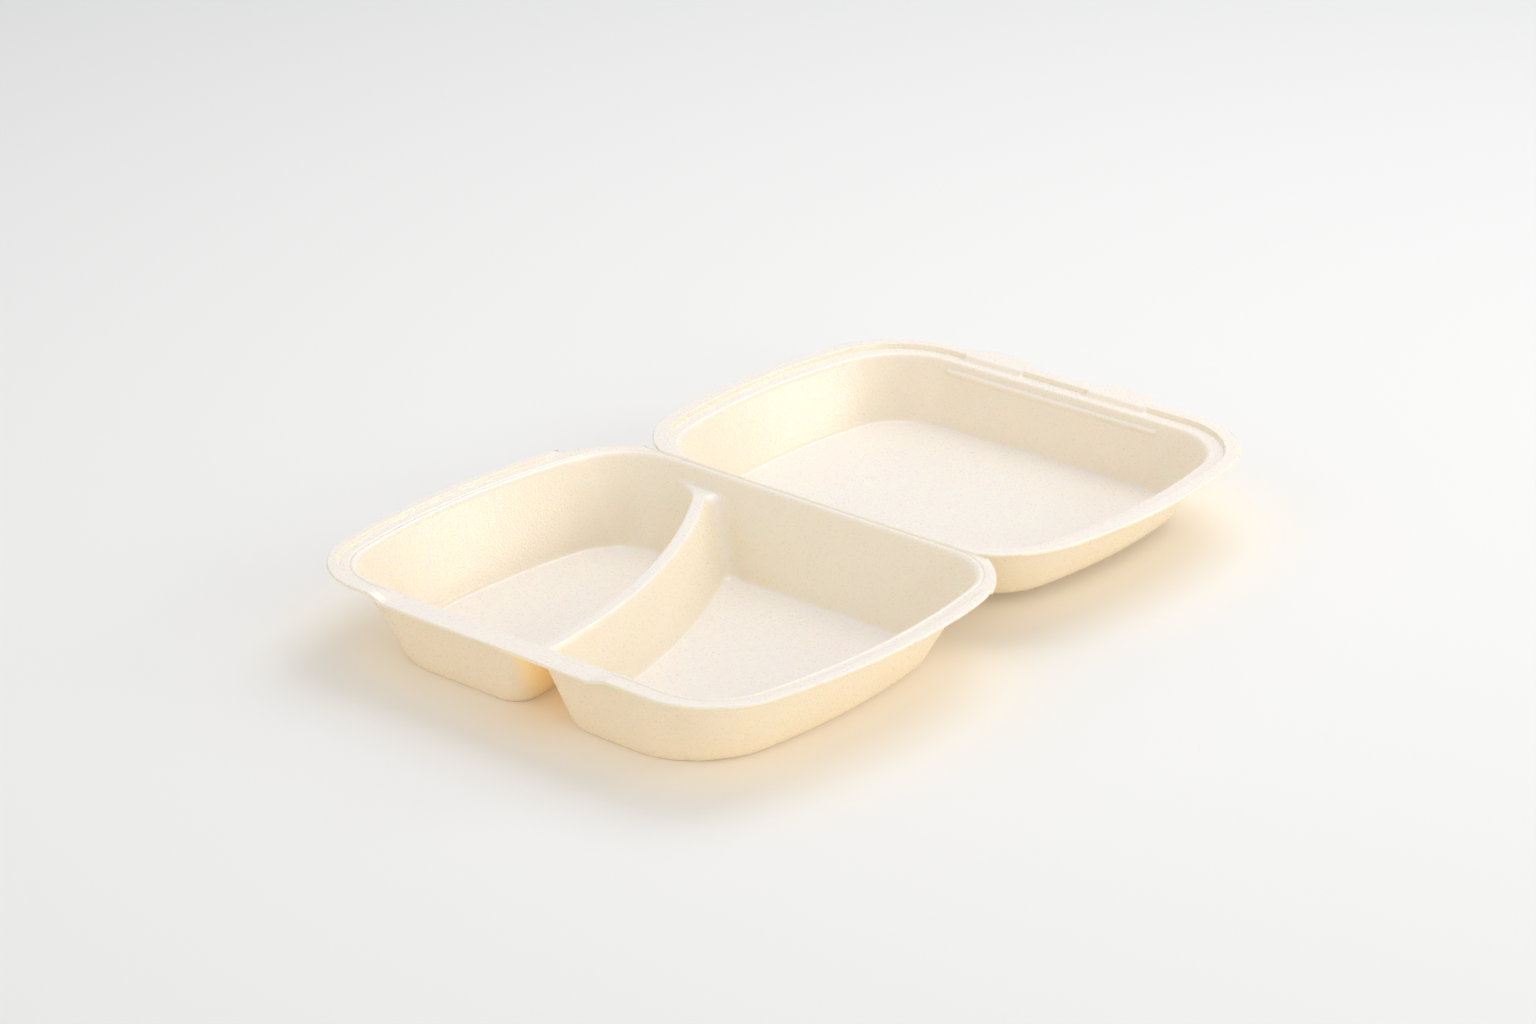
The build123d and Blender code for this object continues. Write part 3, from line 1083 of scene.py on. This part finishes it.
@dataclass(frozen=True)
class FoamFinish:
    """Cream foam skin: fine sheen, some light passing through, painted shade on steep walls and a painted
    warm glow where asked. In metres.
    """

    name: str
    # Painted shade: flats lighter and whiter, steep walls darker and warmer, as light falls on them.
    flat_lit_colour: Colour = (0.96, 0.88, 0.81)
    wall_shade_colour: Colour = (0.93, 0.83, 0.66)
    scatter_colour: Colour = (1.0, 0.55, 0.25)
    scatter: float = 0.4
    scatter_scale: float = 0.0015
    # Painted glow: colour and emission standing in for light passing through the thin foam.
    painted_glow_colour: Colour = (1.0, 0.76, 0.40)
    cell_scale: float = 1000.0
    cloud_scale: float = 38.0
    cloud_share: float = 0.5
    roughness: float = 0.24
    sheen_spread: float = 0.15
    specular: float = 0.9
    bump: float = 0.55
    bump_height: float = 0.00028
    glow: float = 0.12

    def material(self, cells: bpy.types.NodeTree) -> bpy.types.Material:
        """Makes the material.

        Args:
            cells: The shared group for foam cells.

        Returns:
            The material.
        """
        made = bpy.data.materials.new(self.name)
        made.use_nodes = True
        shading = Shading(made.node_tree)
        skin = shading.add("Group")
        skin.node_tree = cells
        shading.feed(skin, {
            "Flat Lit Colour": self.flat_lit_colour, "Wall Shade Colour": self.wall_shade_colour,
            "Cell Scale": self.cell_scale, "Cloud Scale": self.cloud_scale, "Cloud Share": self.cloud_share,
            "Base Roughness": self.roughness, "Sheen Spread": self.sheen_spread,
        })
        bump = shading.add("Bump", {
            "Strength": self.bump, "Distance": self.bump_height, "Height": skin.outputs["Height"],
        })
        # Painted glow: the colour turns orange and the surface emits where the glow attribute is set.
        attribute = shading.add("Attribute")
        attribute.attribute_name = "painted_glow"
        painted_glow = attribute.outputs["Fac"]
        shading.feed(made.node_tree.nodes["Principled BSDF"], {
            "Base Color": shading.mixed(painted_glow, skin.outputs["Colour"], self.painted_glow_colour),
            "Roughness": skin.outputs["Roughness"],
            "Normal": bump.outputs["Normal"],
            "Specular IOR Level": self.specular,
            "Subsurface Weight": self.scatter,
            "Subsurface Radius": self.scatter_colour,
            "Subsurface Scale": self.scatter_scale,
            "Emission Color": self.painted_glow_colour,
            "Emission Strength": shading.maths("MULTIPLY", painted_glow, self.glow),
        })
        return made


@dataclass
class MealBox:
    """The whole box: tray, lid and the strip of sheet that joins them."""

    tray: TrayHalf = field(default_factory=TrayHalf)
    lid: LidHalf = field(default_factory=LidHalf)
    web: HingeWeb = field(default_factory=HingeWeb)

    def build(self) -> list[bpy.types.Object]:
        """Builds and dresses the pieces and joins the tray and the lid to the frame's bodies.

        Returns:
            The pieces.
        """
        cells = cell_group()
        inside = FoamFinish("foam_inside").material(cells)
        # The outer face is a warmer copy of the inner finish: painted light passing through the sheet.
        outside_painted_light = FoamFinish(
            "foam_outside_painted_light", flat_lit_colour=(0.97, 0.87, 0.72), wall_shade_colour=(0.965, 0.83, 0.62),
        ).material(cells)
        tray = self.tray.build()
        lid = self.lid.build()
        web = self.web.build()
        for piece, slot in ((tray, "tray_foam"), (lid, "lid_foam"), (web, "tray_foam")):
            piece.data.materials.append(inside)
            piece.data.materials.append(outside_painted_light)
        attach(tray, "tray")
        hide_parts("base_tray")
        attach(lid, "lid")
        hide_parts("lid")
        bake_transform(web)
        return [tray, lid, web]


@dataclass(frozen=True)
class AreaLamp:
    """Square soft lamp aimed at a point. In metres and watts."""

    name: str
    place: tuple[float, float, float]
    size: float
    power: float
    target: tuple[float, float, float] = (0.0, 0.0, 0.0)
    colour: Colour = WHITE

    def build(self) -> bpy.types.Object:
        """Makes the lamp.

        Returns:
            The lamp object.
        """
        data = bpy.data.lights.new(self.name, "AREA")
        data.size = self.size
        data.energy = self.power
        data.color = self.colour
        made = linked(self.name, data)
        made.location = self.place
        aim = Vector(self.target) - Vector(self.place)
        made.rotation_euler = aim.to_track_quat("-Z", "Y").to_euler()
        return made


@dataclass
class Studio:
    """Pale floor, soft lamps and a plain background. In metres."""

    floor_size: float = 12.0
    floor_roughness: float = 0.9
    floor_specular: float = 0.1
    near_colour: Colour = (0.88, 0.88, 0.875)
    far_painted_shade_colour: Colour = (0.73, 0.735, 0.735)
    shade_colour: Colour = (0.93, 0.84, 0.70)
    gradient: tuple[float, float] = (0.22, 1.3)
    shade_reach: float = 0.06
    shade_samples: int = 4
    painted_glow_colour: Colour = (1.0, 0.84, 0.60)
    shade_glow: float = 0.10
    world_strength: float = 0.7
    lamps: tuple[AreaLamp, ...] = (
        AreaLamp("key_lamp", (0.96, 1.0, 0.52), 0.4, 2.6),
        AreaLamp("side_lamp", (1.5, -0.2, 0.28), 0.8, 5.0),
        AreaLamp("back_lamp", (-0.1, 1.0, 1.5), 1.2, 10.0),
        AreaLamp("front_lamp", (-0.4, -1.5, 0.6), 1.2, 2.4),
    )

    def floor(self) -> bpy.types.Object:
        """Makes the floor: pale, with painted shade that darkens it far away, and painted warm shade with a
        painted glow where the box covers it.

        Returns:
            The floor object.
        """
        half = self.floor_size / 2
        corners = [(-half, -half, 0.0), (half, -half, 0.0), (half, half, 0.0), (-half, half, 0.0)]
        mesh = bpy.data.meshes.new("studio_floor")
        mesh.from_pydata(corners, [], [(0, 1, 2, 3)])
        made = linked("studio_floor", mesh)
        material = bpy.data.materials.new("studio_floor")
        material.use_nodes = True
        shading = Shading(material.node_tree)
        reach = shading.add("VectorMath", {0: shading.add("TexCoord").outputs["Object"]})
        reach.operation = "LENGTH"
        start, end = self.gradient
        away = shading.add("MapRange", {"Value": reach.outputs["Value"], "From Min": start, "From Max": end})
        # Painted shade and painted glow: where ambient occlusion finds the floor covered, its colour turns
        # warm and it emits a little, standing in for light passing through the foam.
        open_sky = shading.add("AmbientOcclusion", {"Distance": self.shade_reach})
        open_sky.samples = self.shade_samples
        openness = open_sky.outputs["AO"]
        # Painted shade: the colour darkens away from the middle, standing in for the fall of light.
        plain = shading.mixed(away.outputs["Result"], self.near_colour, self.far_painted_shade_colour)
        closed = shading.maths("SUBTRACT", 1.0, openness)
        shading.feed(material.node_tree.nodes["Principled BSDF"], {
            "Base Color": shading.mixed(openness, self.shade_colour, plain),
            "Roughness": self.floor_roughness,
            "Specular IOR Level": self.floor_specular,
            "Emission Color": self.painted_glow_colour,
            "Emission Strength": shading.maths("MULTIPLY", closed, self.shade_glow),
        })
        mesh.materials.append(material)
        return made

    def world(self) -> None:
        """Lights the scene evenly and shows the camera a plain background."""
        world = bpy.data.worlds.new("studio")
        bpy.context.scene.world = world
        world.use_nodes = True
        nodes = world.node_tree.nodes
        shading = Shading(world.node_tree)
        light = shading.feed(nodes["Background"], {"Strength": self.world_strength, "Color": WHITE})
        plain = shading.add("Background")
        mix = shading.add("MixShader", {
            "Fac": shading.add("LightPath").outputs["Is Camera Ray"],
            1: light.outputs["Background"],
            2: plain.outputs["Background"],
        })
        shading.feed(nodes["World Output"], {"Surface": mix.outputs["Shader"]})

    def build(self) -> None:
        """Builds the floor, the world and the lamps."""
        self.world()
        self.floor()
        [lamp.build() for lamp in self.lamps]


@dataclass
class Viewpoint:
    """Camera at the photograph's viewing angle. Target and distance in metres."""

    azimuth: float = 40.628
    elevation: float = 22.823
    distance: float = 1.8214
    target: tuple[float, float, float] = (-0.05068, 0.03099, 0.00663)
    focal_pixels: float = 4242.99
    image_width: float = 1536.0
    sensor: float = 36.0
    clip_end: float = 50.0

    def build(self) -> bpy.types.Object:
        """Makes the camera and sets it as the scene's.

        Returns:
            The camera object.
        """
        data = bpy.data.cameras.new("camera")
        data.sensor_width = self.sensor
        data.lens = self.focal_pixels * self.sensor / self.image_width
        data.clip_end = self.clip_end
        turn, rise = math.radians(self.azimuth), math.radians(self.elevation)
        ahead = Vector((-math.sin(turn) * math.cos(rise), math.cos(turn) * math.cos(rise), -math.sin(rise)))
        made = linked("camera", data)
        made.location = Vector(self.target) - ahead * self.distance
        made.rotation_euler = ahead.to_track_quat("-Z", "Y").to_euler()
        bpy.context.scene.camera = made
        return made


def main() -> None:
    """Builds the box, the studio and the camera."""
    bpy.context.scene.view_settings.view_transform = "Standard"
    for piece in MealBox().build():
        log.info("%s: %d faces", piece.name, len(piece.data.polygons))
    Studio().build()
    Viewpoint().build()


if __name__ == "__main__":
    main()
